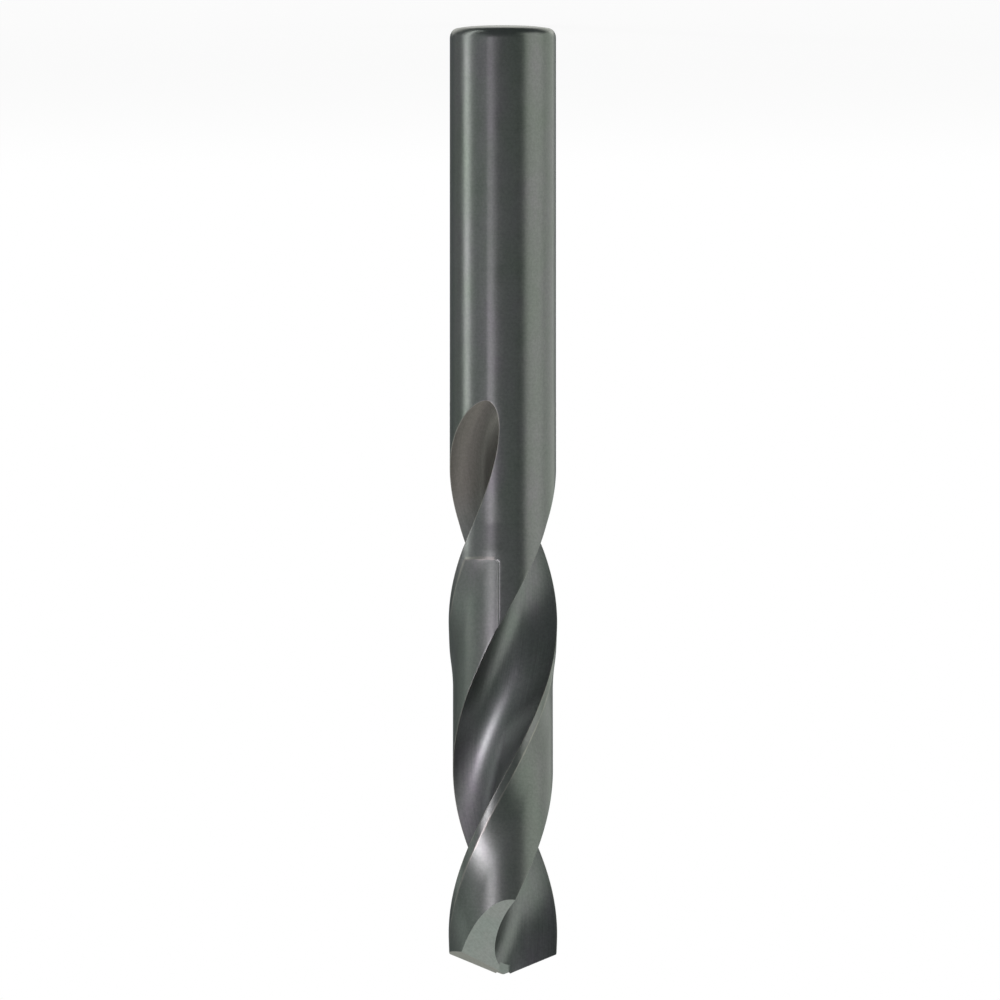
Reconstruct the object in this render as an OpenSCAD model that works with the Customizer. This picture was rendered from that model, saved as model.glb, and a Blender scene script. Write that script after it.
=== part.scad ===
/* [Overall] */
// Length from the flat end of the shank to the point
overall_len = 69.35; // [64:0.05:90]
// Diameter measured over the two margins
drill_d = 7.94; // [7.6:0.01:8.6]

/* [Shank] */
// Diameter of the plain shank
shank_d = 7.78; // [7.4:0.01:8.4]
// Width of the bevel round the end face, measured across the face
bevel_w = 0.9; // [0.4:0.05:1.4]
// Slope of that bevel, measured from the end face
bevel_angle = 25; // [15:1:45]
// Radius that blends the bevel into the side of the shank
bevel_round = 0.5; // [0.2:0.05:0.8]

/* [Flutes] */
// Length from the point to where the flutes have run out on the shank
flute_len = 42.05; // [38:0.05:48]
// Angle of the helix at the drill's outside diameter
helix_angle = 29; // [22:0.5:34]
// Share of the circle, in degrees, that one flute opens
flute_angle = 93.8; // [86:0.1:98]
// Thickness of the web between the flutes at the point
web_thick = 1.5; // [1.1:0.05:1.9]
// How much the web thickens for each millimetre back from the point
web_growth = 0.015; // [0:0.001:0.03]
// Lean of the flute wall from the radius where it meets the heel
heel_lean = 24; // [10:1:32]
// Radius of the wheel path along which the flutes rise out of the metal
runout_r = 25; // [18:1:40]

/* [Lands] */
// Width of the raised margin behind each leading edge
margin_w = 0.62; // [0.4:0.01:1]
// How far the land behind the margin lies below it
clearance_depth = 0.31; // [0.15:0.01:0.4]
// Width of the hollow in which the land falls away behind the margin
hollow_w = 1.9; // [1:0.1:2.4]
// Length from the point to the step where the body clearance begins
clearance_len = 30.35; // [24:0.05:33]
// Length of the straight edge that the clearance begins with
start_edge_len = 5.1; // [3:0.1:6]
// Length from the point to the shoulder between body and shank
body_len = 30.95; // [30:0.05:34]
// Height of that shoulder
shoulder_h = 2; // [0.6:0.1:3]

/* [Point] */
// Included angle of the point
point_angle = 135; // [118:1:140]
// Angle at which each flank falls away behind its lip
relief_angle = 11; // [8:0.5:14]
// Direction of both point gashes, measured ahead of the lip
gash_turn = 80; // [74:1:86]
// Slope of the flat that clears each heel, measured from the drill's axis
heel_gash_angle = 28.4; // [24:0.2:34]
// Distance of that flat from the axis, at the height of the point
heel_gash_r = 0.67; // [0.6:0.01:0.9]
// Width of the notch that splits the web
notch_w = 0.8; // [0.5:0.05:1]
// Slope of the notch floor, measured from the drill's axis
notch_angle = 45; // [40:1:55]
// Width of chisel edge that the two notches leave
chisel_w = 0.3; // [0.15:0.05:0.5]

/* [Hidden] */
$fn = 96;

// Angle of the first lip corner, seen from the point
corner_turn = 12;
// Direction in which the flute outline moves as the web thickens or the wheel lifts
lift_turn = 69;
// Amount by which every cutting shape reaches past the metal
overcut = 1;
// Height of one step of the helical sweeps
sweep_step = 0.9;
// Steps along the wheel path at the run-out
runout_steps = 18;
// Steps on the straight-lip side of the flute, and on the curve behind it
rake_steps = 6;
wall_steps = 12;
// Radius where that curve takes over from the lip side, as a share of half the web
rake_end = 1.75;
// Pull of the two ends of that curve, as shares of the drill's radius
bottom_pull = 0.28;
heel_pull = 0.53;
// Angle by which the clearance reaches past the heel into the flute
clearance_over = 12;
// Shares of the hollow's width between which it is swept, and its steps
hollow_from = -0.15;
hollow_to = 0.7;
hollow_steps = 5;
// Steps round the blend of the end bevel
round_steps = 8;

drill_r = drill_d / 2;
shank_r = shank_d / 2;
clearance_r = drill_r - clearance_depth;
web_r = web_thick / 2;
shank_len = overall_len - body_len;
clearance_z = overall_len - clearance_len;
half_point = point_angle / 2;

// Degrees that the flutes turn for each millimetre of height
twist = 360 * tan(helix_angle) / (PI * drill_d);

// The straight lip runs past the axis at half the web's thickness.
// lip_run is the distance along it, and lip_turn the angle that it lags the corner.
function lip_run(r) = sqrt(r * r - web_r * web_r);
corner_lag = asin(web_r / drill_r);
lip_turn = corner_turn - corner_lag;

// Height of the lip line above the axis, and of the outer corner
lip_top_z = overall_len + web_r * tan(relief_angle) / sin(half_point);
corner_z = lip_top_z - lip_run(drill_r) / tan(half_point);

function polar(r, a) = [r * cos(a), r * sin(a)];
function unit(v) = v / norm(v);

// Flute outline in one plane, with the leading corner on the x axis.
// A straight lip on a cone needs each point of the rake side turned by what the helix
// advances between the point's height on the lip and the corner.
function rake_turn(r) =
    asin(web_r / r) - corner_lag - twist * (lip_run(drill_r) - lip_run(r)) / tan(half_point);
function rake_point(r) = polar(r, rake_turn(r));

rake_out_r = drill_r + overcut;
rake_in_r = rake_end * web_r;
rake_side = [
    for (i = [0 : rake_steps])
        rake_point(rake_out_r + (rake_in_r - rake_out_r) * i / rake_steps)
];

// The rest of the flute is one smooth curve from the rake side round to the heel.
wall_start = rake_point(rake_in_r);
wall_start_dir = unit(wall_start - rake_point(rake_in_r + 0.01));
wall_end = polar(drill_r, flute_angle);
wall_end_dir = polar(1, flute_angle - heel_lean);
wall_pull_a = wall_start + bottom_pull * drill_r * wall_start_dir;
wall_pull_b = wall_end - heel_pull * drill_r * wall_end_dir;
function wall_point(t) =
    pow(1 - t, 3) * wall_start + 3 * pow(1 - t, 2) * t * wall_pull_a
    + 3 * (1 - t) * pow(t, 2) * wall_pull_b + pow(t, 3) * wall_end;
wall_side = [for (i = [1 : wall_steps]) wall_point(i / wall_steps)];

// The outline is closed well outside the metal.
flute_outline = concat(
    rake_side,
    wall_side,
    [wall_end + overcut * wall_end_dir, polar(2 * drill_r, flute_angle / 2)]
);

// Lift of the flute outline: the web's growth, and past the full depth the wheel's arc
lift_dir = polar(1, lift_turn);
function web_lift(z) = web_growth * max(overall_len - z, 0) / 2;
runout_z = overall_len - flute_len;
runout_lift = shank_r - web_r - web_lift(runout_z);
function wheel_reach(lift) = sqrt(2 * runout_r * lift - lift * lift) * cos(helix_angle);
full_depth_z = runout_z + wheel_reach(runout_lift);
lowest_z = full_depth_z - wheel_reach(runout_lift + overcut);
function wheel_lift(z) =
    runout_r - sqrt(pow(runout_r, 2) - pow(max(full_depth_z - z, 0) / cos(helix_angle), 2));
function flute_lift(z) = web_lift(z) + wheel_lift(z);

// Angles of the leading corner and of the heel behind the same land.
// As the web thickens, both edges close in on the flute.
function corner_angle(z) = corner_turn + twist * (z - corner_z);
function edge_shift(z, turn) = asin(web_lift(z) * sin(turn) / drill_r);
function lead_angle(z) = corner_angle(z) + edge_shift(z, lift_turn);
function heel_angle(z) =
    corner_angle(z) + flute_angle - 180 - edge_shift(z, flute_angle - lift_turn);

// A solid swept through a stack of outlines of equal length.
// Each end face is laid out as a fan round the outline's last point, from where all others are in sight.
module sweep(rings) {
    n = len(rings[0]);
    last = len(rings) - 1;
    polyhedron(
        points = [for (ring = rings) each ring],
        faces = concat(
            [[for (j = [n - 1 : -1 : 0]) j]],
            [for (i = [0 : last - 1], j = [0 : n - 1]) each [
                [i * n + j, i * n + (j + 1) % n, (i + 1) * n + j],
                [i * n + (j + 1) % n, (i + 1) * n + (j + 1) % n, (i + 1) * n + j]
            ]],
            [[for (j = [n - 1 : 2 * n - 2]) last * n + j % n]]
        )
    );
}

// Heights from low to high in even steps, none longer than sweep_step
function heights(low, high) =
    let (count = ceil((high - low) / sweep_step))
    [for (i = [0 : count]) low + (high - low) * i / count];

function turned(p, a) = [p.x * cos(a) - p.y * sin(a), p.x * sin(a) + p.y * cos(a)];
function flute_ring(z) = [
    for (p = flute_outline)
        let (q = turned(p + flute_lift(z) * lift_dir, corner_angle(z)))
        [q.x, q.y, z]
];

// Flute, as the wheel leaves it, with its run-out on the shank
module flute() {
    runout = [
        for (i = [0 : runout_steps - 1])
            lowest_z + (full_depth_z - lowest_z) * i / runout_steps
    ];
    sweep([for (z = concat(runout, heights(full_depth_z, overall_len + overcut))) flute_ring(z)]);
}

// Body clearance: the land behind the margin, down to the smaller radius.
// It begins at a square step with a straight edge that ends where the heel reaches it.
// The hollow behind the margin falls away as a parabola that is level at its far side.
margin_angle = margin_w / drill_r * 180 / PI;
hollow_angle = hollow_w / drill_r * 180 / PI;
function hollow_point(share, high) =
    polar(drill_r - clearance_depth * (1 - pow(1 - share, 2)), high - hollow_angle * share);
start_edge_angle = heel_angle(clearance_z + start_edge_len);
function clearance_low(z) = max(heel_angle(z) - clearance_over, start_edge_angle);
function clearance_high(z) = lead_angle(z) - margin_angle;
function clearance_ring(z) =
    let (
        low = clearance_low(z),
        high = clearance_high(z),
        inner = drill_r / 2,
        outer = 1.5 * drill_r,
        near = high - hollow_angle * hollow_from,
        far = high - hollow_angle * hollow_to,
        hollow = [
            for (i = [0 : hollow_steps])
                hollow_point(hollow_to + (hollow_from - hollow_to) * i / hollow_steps, high)
        ],
        corners = concat(
            [polar(outer, low), polar(inner, low), polar(inner, far)],
            hollow,
            [polar(outer, near), polar(outer, (low + far) / 2)]
        )
    )
    [for (p = corners) [p.x, p.y, z]];

module body_clearance() {
    difference() {
        sweep([for (z = heights(clearance_z, overall_len + overcut)) clearance_ring(z)]);
        translate([0, 0, clearance_z - overcut])
            cylinder(r = clearance_r, h = clearance_len + 3 * overcut);
    }
}

// Turned blank: bevelled plain shank, shoulder and body
module blank() {
    blend = bevel_round * tan((90 - bevel_angle) / 2);
    bevel_h = bevel_w * tan(bevel_angle);
    round_z = bevel_h + blend;
    rotate_extrude()
        polygon(concat(
            [[0, 0], [shank_r - bevel_w, 0]],
            [for (i = [0 : round_steps])
                let (a = -(90 - bevel_angle) * (1 - i / round_steps))
                [shank_r - bevel_round, round_z] + polar(bevel_round, a)],
            [
                [shank_r, shank_len - shoulder_h],
                [drill_r, shank_len],
                [drill_r, overall_len + overcut],
                [0, overall_len + overcut]
            ]
        ));
}

// Flank: a flat through the lip that falls away behind it
module flank() {
    size = 3 * drill_d;
    rotate(lip_turn)
        translate([0, web_r, lip_top_z])
            rotate([relief_angle, 90 - half_point, 0])
                translate([-size, -size, 0])
                    cube([2 * size, 2 * size, size]);
}

// Flat gash ahead of the lip, sloping out and back from the web.
// root_r is the distance from the axis at the height of the point.
module gash(root_r, slope, side_a, side_b) {
    size = 2 * drill_d;
    rotate(lip_turn + gash_turn)
        translate([root_r, 0, overall_len])
            rotate([0, 90 - slope, 0])
                translate([-size, side_a, 0])
                    cube([2 * size, side_b - side_a, size]);
}

module drill_bit() {
    color("dimgray")
        difference() {
            blank();
            for (side = [0, 1])
                rotate(180 * side) {
                    flute();
                    body_clearance();
                    flank();
                    gash(heel_gash_r, heel_gash_angle, -notch_w / 2, drill_d);
                    gash(chisel_w / 2, notch_angle, -notch_w / 2, notch_w / 2);
                }
        }
}

drill_bit();
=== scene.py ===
"""Dressed model of a short straight-shank twist drill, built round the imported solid."""

import logging
import math
from dataclasses import dataclass, field
from enum import Enum

import bmesh
import bpy
import numpy as np
from mathutils import Matrix, Vector


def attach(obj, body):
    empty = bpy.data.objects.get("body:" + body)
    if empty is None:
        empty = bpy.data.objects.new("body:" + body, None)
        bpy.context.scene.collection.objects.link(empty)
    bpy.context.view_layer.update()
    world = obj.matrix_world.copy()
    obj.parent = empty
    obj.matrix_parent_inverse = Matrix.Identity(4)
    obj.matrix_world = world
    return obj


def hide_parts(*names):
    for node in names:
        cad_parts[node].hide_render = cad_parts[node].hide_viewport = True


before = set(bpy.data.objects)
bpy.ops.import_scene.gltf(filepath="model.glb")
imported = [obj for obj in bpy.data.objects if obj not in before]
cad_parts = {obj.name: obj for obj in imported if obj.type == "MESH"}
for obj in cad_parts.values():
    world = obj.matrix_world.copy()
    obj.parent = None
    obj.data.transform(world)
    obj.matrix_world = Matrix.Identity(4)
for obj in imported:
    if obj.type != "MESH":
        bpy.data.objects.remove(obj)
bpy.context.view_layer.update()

MM = 0.001
# Slack when two heights or radii in millimetres are compared
HAIR = 1e-9
# Stands for any distance from an edge's bare line, worn steel and painted highlight, that is too far to
# matter
FAR_MM = 9.0
Vec3 = tuple[float, float, float]
Colour = tuple[float, float, float]
Socket = bpy.types.NodeSocket

log = logging.getLogger("twist_drill")


class Zone(Enum):
    """Ground zones of the drill, in the order of its material slots."""

    SHANK = 0
    LAND = 1
    FLUTE = 2
    POINT = 3


class Grain(Enum):
    """Way in which the wheel marks run: the map that they follow and their scale on it.

    They run round the axis, along the flute, or straight across the point. Object
    coordinates are in metres, and the map "flow" is in millimetres.
    """

    ROUND = ("Object", (350.0, 350.0, 24000.0))
    FLOW = ("flow", (17.0, 0.16, 1.0))
    STRAIGHT = ("Object", (700.0, 20000.0, 700.0))


def polar(radius: np.ndarray | float, angle: np.ndarray | float) -> np.ndarray:
    """Points at a radius and an angle in degrees, as the last axis of an array."""
    turn = np.radians(angle)
    return np.stack(np.broadcast_arrays(radius * np.cos(turn), radius * np.sin(turn)), axis=-1)


def turned(points: np.ndarray, angle: np.ndarray | float) -> np.ndarray:
    """Points turned about the axis.

    Args:
        points: Array whose last axis is x, y.
        angle: Degrees, counter-clockwise seen from the point of the drill.

    Returns:
        The turned points, x' = x cos a - y sin a and y' = x sin a + y cos a.
    """
    turn = np.radians(angle)
    x, y = points[..., 0], points[..., 1]
    return np.stack((x * np.cos(turn) - y * np.sin(turn), x * np.sin(turn) + y * np.cos(turn)), axis=-1)


def angle_of(points: np.ndarray) -> np.ndarray:
    """Angle of each point round the axis, in degrees."""
    return np.degrees(np.arctan2(points[..., 1], points[..., 0]))


def smooth_step(t: np.ndarray) -> np.ndarray:
    """Ease from 0 to 1, 3 t squared less 2 t cubed, held outside that range."""
    t = np.clip(t, 0.0, 1.0)
    return t * t * (3.0 - 2.0 * t)


def cubic(start: np.ndarray, pull_a: np.ndarray, pull_b: np.ndarray, end: np.ndarray,
          count: int) -> np.ndarray:
    """A cubic curve, (1-t)^3 A + 3 (1-t)^2 t B + 3 (1-t) t^2 C + t^3 D, without its start.

    Args:
        start: The first point, A.
        pull_a: The point towards which the curve leaves, B.
        pull_b: The point from which it arrives, C.
        end: The last point, D.
        count: Number of points.

    Returns:
        The points, one a row.
    """
    t = np.linspace(0.0, 1.0, count + 1)[1:, None]
    return (1 - t) ** 3 * start + 3 * (1 - t) ** 2 * t * pull_a + 3 * (1 - t) * t**2 * pull_b + t**3 * end


def run_along(points: np.ndarray) -> np.ndarray:
    """Length of each line of points, from its first point to each of its points.

    Args:
        points: Array whose last two axes are the points of a line and x, y.

    Returns:
        The lengths, without the last axis.
    """
    run = np.zeros(points.shape[:-1])
    run[..., 1:] = np.cumsum(np.linalg.norm(np.diff(points, axis=-2), axis=-1), axis=-1)
    return run


def filled_mesh(name: str, places: np.ndarray, loops: np.ndarray, sizes: np.ndarray,
                slots: np.ndarray, maps: dict[str, np.ndarray]) -> bpy.types.Mesh:
    """Puts whole arrays into a new mesh.

    Args:
        name: Name of the mesh.
        places: Corner places in millimetres.
        loops: Corner of each loop, face after face.
        sizes: Number of loops of each face.
        slots: Material slot of each face.
        maps: UV maps by their names, each with two numbers a loop.

    Returns:
        The mesh, in metres.
    """
    mesh = bpy.data.meshes.new(name)
    mesh.vertices.add(len(places))
    mesh.vertices.foreach_set("co", (places * MM).astype(np.float32).ravel())
    mesh.loops.add(len(loops))
    mesh.loops.foreach_set("vertex_index", loops.astype(np.int32))
    mesh.polygons.add(len(sizes))
    starts = np.concatenate(([0], np.cumsum(sizes)[:-1]))
    mesh.polygons.foreach_set("loop_start", starts.astype(np.int32))
    mesh.polygons.foreach_set("material_index", slots.astype(np.int32))
    mesh.update(calc_edges=True)
    for title, values in maps.items():
        mesh.uv_layers.new(name=title).data.foreach_set("uv", values.astype(np.float32).ravel())
    mesh.validate()
    return mesh


def column(items: bpy.types.bpy_prop_collection, name: str, kind: type) -> np.ndarray:
    """One property of all items of a mesh, as an array.

    Args:
        items: The mesh's edges, faces or loops.
        name: Name of the property.
        kind: Type of the numbers.

    Returns:
        One value for each item.
    """
    values = np.empty(len(items), kind)
    items.foreach_get(name, values)
    return values


@dataclass
class FlutedBody:
    """Shank, lands and flutes of the drill, with sizes in millimetres and angles in degrees.

    The surface is one grid. Its columns run from the shank's end to beyond the point
    and follow the helix, and each of its rows is the cross section at one height.

    A size in _len is counted down from the point, but that of the start edge is counted
    up from the start of the clearance. One in _round is how far an edge's round reaches
    from it, and one in _pull how far a curve is drawn along its end's direction, for the
    flute in radii. Those in _share are shares of a whole, and those in _rows, _columns
    and _count are numbers of points.
    """

    # Blank
    overall_len: float = 69.35
    drill_d: float = 7.94
    shank_d: float = 7.78
    body_len: float = 30.95
    shoulder_h: float = 2.0

    # End face of the shank, a crown with a round corner
    crown_r: float = 3.29
    crown_h: float = 0.18
    crown_shares: tuple[float, ...] = (0.0, 0.006, 0.2, 0.4, 0.58, 0.74, 0.88, 1.0)
    end_corner_h: float = 0.95
    end_corner_pull: float = 0.41
    end_corner_rows: int = 12

    # Flutes and web
    flute_len: float = 42.05
    helix_angle: float = 29.0
    flute_angle: float = 93.8
    web_thick: float = 1.5
    web_growth: float = 0.015
    heel_lean: float = 24.0
    runout_r: float = 25.0
    lift_turn: float = 69.0
    rake_end: float = 1.75
    bottom_pull: float = 0.28
    heel_pull: float = 0.53
    overcut: float = 1.0
    rake_count: int = 700
    wall_count: int = 1199
    past_count: int = 100
    outline_count: int = 2600

    # Point
    point_angle: float = 135.0
    relief_angle: float = 11.0
    corner_turn: float = 12.0

    # Margin, and the cleared land behind it with the step at its start
    margin_w: float = 0.62
    margin_fall: float = 0.04
    clearance_len: float = 30.35
    clearance_depth: float = 0.31
    hollow_w: float = 1.9
    land_dip: float = 0.01
    dip_share: float = 0.6
    crowding: float = 1.5
    start_edge_len: float = 5.1
    start_corner_r: float = 0.3
    step_ramp: float = 0.004
    step_lead: float = 0.05

    # Rounds of the edges, smaller where the flute or the land is narrow
    lead_round: float = 0.02
    heel_round: float = 0.035
    step_round: float = 0.16
    cove_round: float = 0.02
    narrow_gap: float = 0.3
    narrow_land: float = 4.0
    cut_share: float = 0.4
    crest_share: float = 0.3
    cove_share: float = 0.45

    # Factors on the distance from an edge, where a larger one thins its bare line of worn steel and painted
    # highlight
    heel_wear_glint: float = 1.7
    trail_wear_glint: float = 0.6
    step_wear_glint: float = 0.35

    # Grid
    row_step: float = 0.22
    least_rows: int = 4
    shank_rows: int = 8
    runout_rows: int = 29
    runout_span: float = 3.2
    spare_h: float = 0.5
    flute_columns: int = 72
    land_columns: int = 44
    heel_columns: int = 12
    margin_columns: int = 9
    round_columns: int = 3
    crest_columns: int = 2
    merge: float = 2e-5
    seam_gap: float = 0.05

    outline: np.ndarray = field(init=False)
    outline_step: float = field(init=False)
    runout_end_z: float = field(init=False)

    def __post_init__(self) -> None:
        """Works out the flute's outline and the height at which its run-out ends."""
        self.outline, self.outline_step = self._flute_outline()
        self.runout_end_z = self._find_runout_end()

    @property
    def drill_r(self) -> float:
        """Radius over the margins."""
        return self.drill_d / 2

    @property
    def shank_r(self) -> float:
        """Radius of the shank."""
        return self.shank_d / 2

    @property
    def web_r(self) -> float:
        """Half the web's thickness at the point."""
        return self.web_thick / 2

    @property
    def half_point(self) -> float:
        """Half of the point's included angle."""
        return self.point_angle / 2

    @property
    def twist(self) -> float:
        """Degrees that the flutes turn for each millimetre of height."""
        return 360.0 * math.tan(math.radians(self.helix_angle)) / (math.pi * self.drill_d)

    @property
    def corner_lag(self) -> float:
        """Angle between the lip's outer corner and the lip's own direction."""
        return math.degrees(math.asin(self.web_r / self.drill_r))

    @property
    def lip_turn(self) -> float:
        """Direction of the first lip."""
        return self.corner_turn - self.corner_lag

    @property
    def lip_top_z(self) -> float:
        """Height at which the line of a lip passes the axis."""
        half = math.radians(self.half_point)
        return self.overall_len + self.web_r * math.tan(math.radians(self.relief_angle)) / math.sin(half)

    @property
    def corner_z(self) -> float:
        """Height of the lips' outer corners."""
        return self.lip_top_z - self._lip_run(self.drill_r) / math.tan(math.radians(self.half_point))

    @property
    def clearance_z(self) -> float:
        """Height at which the body clearance begins."""
        return self.overall_len - self.clearance_len

    @property
    def shoulder_z(self) -> float:
        """Height of the top of the shoulder between shank and body."""
        return self.overall_len - self.body_len

    def _lip_run(self, radius: np.ndarray | float) -> np.ndarray | float:
        """Distance along a lip, which runs past the axis at half the web, to a radius."""
        return np.sqrt(np.square(radius) - self.web_r**2)

    def _rake_points(self, radius: np.ndarray) -> np.ndarray:
        """Rake side of the flute outline.

        A straight lip on a cone needs each point turned by what the helix advances
        between the point's height on the lip and the corner:
        angle = asin(web / r) - lag - twist (run(corner) - run(r)) / tan(half point).

        Args:
            radius: Radii at which points are wanted.

        Returns:
            One point for each radius, with the leading corner on the x axis.
        """
        slope = math.tan(math.radians(self.half_point))
        rise = (self._lip_run(self.drill_r) - self._lip_run(radius)) / slope
        angle = np.degrees(np.arcsin(self.web_r / radius)) - self.corner_lag - self.twist * rise
        return polar(radius, angle)

    def _flute_outline(self) -> tuple[np.ndarray, float]:
        """Flute outline in one plane, in even steps.

        The rake side is followed by a cubic curve from the rake side to the heel, and
        by a straight end.

        Returns:
            The points and the distance between neighbours.
        """
        rake_in_r = self.rake_end * self.web_r
        nudge = 0.01
        rake = self._rake_points(np.linspace(self.drill_r + self.overcut, rake_in_r, self.rake_count))
        start, before = self._rake_points(np.array([rake_in_r, rake_in_r + nudge]))
        start_dir = (start - before) / np.linalg.norm(start - before)
        end = polar(self.drill_r, self.flute_angle)
        end_dir = polar(1.0, self.flute_angle - self.heel_lean)
        pull_a = start + self.bottom_pull * self.drill_r * start_dir
        pull_b = end - self.heel_pull * self.drill_r * end_dir
        wall = cubic(start, pull_a, pull_b, end, self.wall_count)
        past = end + np.linspace(2 * nudge, 2 * self.overcut, self.past_count)[:, None] * end_dir
        line = np.concatenate((rake, wall, past))
        run = run_along(line)
        even = np.linspace(0.0, run[-1], self.outline_count)
        points = np.stack([np.interp(even, run, places) for places in line.T], axis=-1)
        return points, float(even[1])

    def web_lift(self, z: np.ndarray) -> np.ndarray:
        """Lift of the outline where the web has grown, half of growth times distance."""
        return self.web_growth * np.maximum(self.overall_len - z, 0.0) / 2

    def flute_lift(self, z: np.ndarray) -> np.ndarray:
        """Lift of the outline at each height.

        To the web's growth comes the wheel's arc past the full depth,
        R - sqrt(R^2 - d^2), where d is the distance along the helix.

        Args:
            z: Heights.

        Returns:
            One lift for each height.
        """
        runout_z = self.overall_len - self.flute_len
        lift = self.shank_r - self.web_r - float(self.web_lift(np.array(runout_z)))
        lean = math.cos(math.radians(self.helix_angle))
        full_depth_z = runout_z + math.sqrt(2 * self.runout_r * lift - lift * lift) * lean
        # The distance stays below the radius, so that the root is that of a positive number
        arc_end = 0.99 * self.runout_r
        d = np.minimum(np.maximum(full_depth_z - z, 0.0) / lean, arc_end)
        return self.web_lift(z) + self.runout_r - np.sqrt(self.runout_r**2 - d * d)

    def lifted(self, z: np.ndarray) -> np.ndarray:
        """Outline at each height, moved by the flute's lift, with the corner on the x axis."""
        return self.outline[None] + self.flute_lift(z)[:, None, None] * polar(1.0, self.lift_turn)

    def corner_angle(self, z: np.ndarray) -> np.ndarray:
        """Angle of the first leading corner at each height."""
        return self.corner_turn + self.twist * (z - self.corner_z)

    def _find_runout_end(self) -> float:
        """Height at which the lifted outline only just touches the shank, by halving.

        Returns:
            The height.
        """
        drop, span, halvings = 3.0, 9.0, 50
        low = self.overall_len - self.flute_len - drop
        high = low + span
        for _ in range(halvings):
            middle = (low + high) / 2
            nearest = np.linalg.norm(self.lifted(np.array([middle])), axis=-1).min()
            low, high = (middle, high) if nearest > self.shank_r else (low, middle)
        return high

    def blank_radius(self, z: np.ndarray) -> np.ndarray:
        """Radius of the turned blank above the end's corner."""
        rise = np.clip((z - (self.shoulder_z - self.shoulder_h)) / self.shoulder_h, 0.0, 1.0)
        return self.shank_r + (self.drill_r - self.shank_r) * rise

    def end_profile(self) -> np.ndarray:
        """Heights and radii from the centre of the end face over its corner to the shank.

        The face is crowned, z = crown height times (r / crown radius)^3. Its corner is a
        cubic curve that leaves the crown along its slope and meets the side upright.

        Returns:
            Rows of height and radius.
        """
        r = self.crown_r * np.array(self.crown_shares)
        crown = np.stack((self.crown_h * (r / self.crown_r) ** 3, r), axis=-1)
        slope = np.array([3 * self.crown_h / self.crown_r, 1.0])
        pull_a = crown[-1] + self.end_corner_pull * slope / np.linalg.norm(slope)
        end = np.array([self.end_corner_h, self.shank_r])
        pull_b = end - [self.end_corner_pull, 0.0]
        corner = cubic(crown[-1], pull_a, pull_b, end, self.end_corner_rows)
        return np.concatenate((crown, corner))

    @staticmethod
    def crossings(shifted: np.ndarray, lead_r: np.ndarray,
                  heel_r: np.ndarray) -> tuple[np.ndarray, np.ndarray]:
        """Places at which each row's outline enters and leaves the metal.

        Args:
            shifted: The lifted outlines, rows by points by x and y.
            lead_r: Radius of the metal on the leading side of each row.
            heel_r: Radius of the metal at the heel of each row.

        Returns:
            Two arrays of positions along the outline, counted in its even steps. Where
            an outline misses the metal, both are its nearest point.
        """
        radii = np.linalg.norm(shifted, axis=-1)
        rows = np.arange(len(radii))
        last = radii.shape[1] - 1
        enter = np.clip((radii < lead_r[:, None]).argmax(axis=1), 1, last)
        leave = np.clip(last - (radii[:, ::-1] < heel_r[:, None]).argmax(axis=1), 0, last - 1)
        r0, r1 = radii[rows, enter - 1], radii[rows, enter]
        start = enter - 1 + (lead_r - r0) / (r1 - r0)
        r0, r1 = radii[rows, leave], radii[rows, leave + 1]
        stop = leave + (heel_r - r0) / (r1 - r0)
        nearest = radii.argmin(axis=1).astype(float)
        miss = radii.min(axis=1) >= np.minimum(lead_r, heel_r) - HAIR
        return np.where(miss, nearest, start), np.where(miss, nearest, stop)

    @staticmethod
    def along(shifted: np.ndarray, place: np.ndarray) -> np.ndarray:
        """Points of each row's outline at given positions, straight between its points.

        Args:
            shifted: The lifted outlines, rows by points by x and y.
            place: Positions counted in even steps, one or more a row.

        Returns:
            One point for each position.
        """
        rows = np.arange(len(shifted)).reshape((-1,) + (1,) * (place.ndim - 1))
        low = np.clip(np.floor(place).astype(int), 0, shifted.shape[1] - 2)
        part = (place - low)[..., None]
        return shifted[rows, low] * (1 - part) + shifted[rows, low + 1] * part

    def heel_turn(self, z: np.ndarray, radius: float) -> np.ndarray:
        """Where the heel of the first land lies, for metal of a given radius.

        Args:
            z: Heights.
            radius: The radius.

        Returns:
            One angle for each height.
        """
        shifted = self.lifted(z)
        full = np.full(len(z), radius)
        _, stop = self.crossings(shifted, full, full)
        return angle_of(self.along(shifted, stop)) - 180.0 + self.corner_angle(z)

    def heights(self) -> np.ndarray:
        """Heights of the rows above the shank's end.

        They are close together where the run-out begins, t squared of the way, and at
        the start of the clearance, and elsewhere in even steps.

        Returns:
            The heights, lowest first.
        """
        low = self.end_profile()[-1, 0]
        shank = np.linspace(low, self.runout_end_z, self.shank_rows + 1)[1:]
        t = np.linspace(0.0, 1.0, self.runout_rows + 1)[1:]
        runout = self.runout_end_z + self.runout_span * t**2
        start = self.clearance_z
        stops = [runout[-1], self.shoulder_z - self.shoulder_h, self.shoulder_z,
                 start - self.step_lead, start, start + self.step_ramp, start + self.start_corner_r,
                 *self._start_edge_span(), self.overall_len + self.spare_h]
        parts = [shank, runout]
        for a, b in zip(stops[:-1], stops[1:]):
            least = self.least_rows if b - a > self.step_lead else 1
            count = max(int(math.ceil((b - a) / self.row_step)), least)
            parts.append(np.linspace(a, b, count + 1)[1:])
        return np.concatenate(parts)

    def _start_edge_span(self) -> tuple[float, float]:
        """Heights at which the heel meets the straight start edge and has passed it.

        Returns:
            The lower and the upper height.
        """
        above, reach, count = 3.0, 8.0, 400
        z = np.linspace(self.clearance_z + above, self.clearance_z + reach, count)
        edge = self._start_edge_angle()
        high = np.interp(edge, self.heel_turn(z, self.drill_r), z)
        low = np.interp(edge, self.heel_turn(z, self.drill_r - self.clearance_depth), z)
        return min(low, high), max(low, high)

    def _start_edge_angle(self) -> float:
        """Angle of the straight edge with which the clearance begins."""
        z = np.array([self.clearance_z + self.start_edge_len])
        return float(self.heel_turn(z, self.drill_r)[0])

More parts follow.
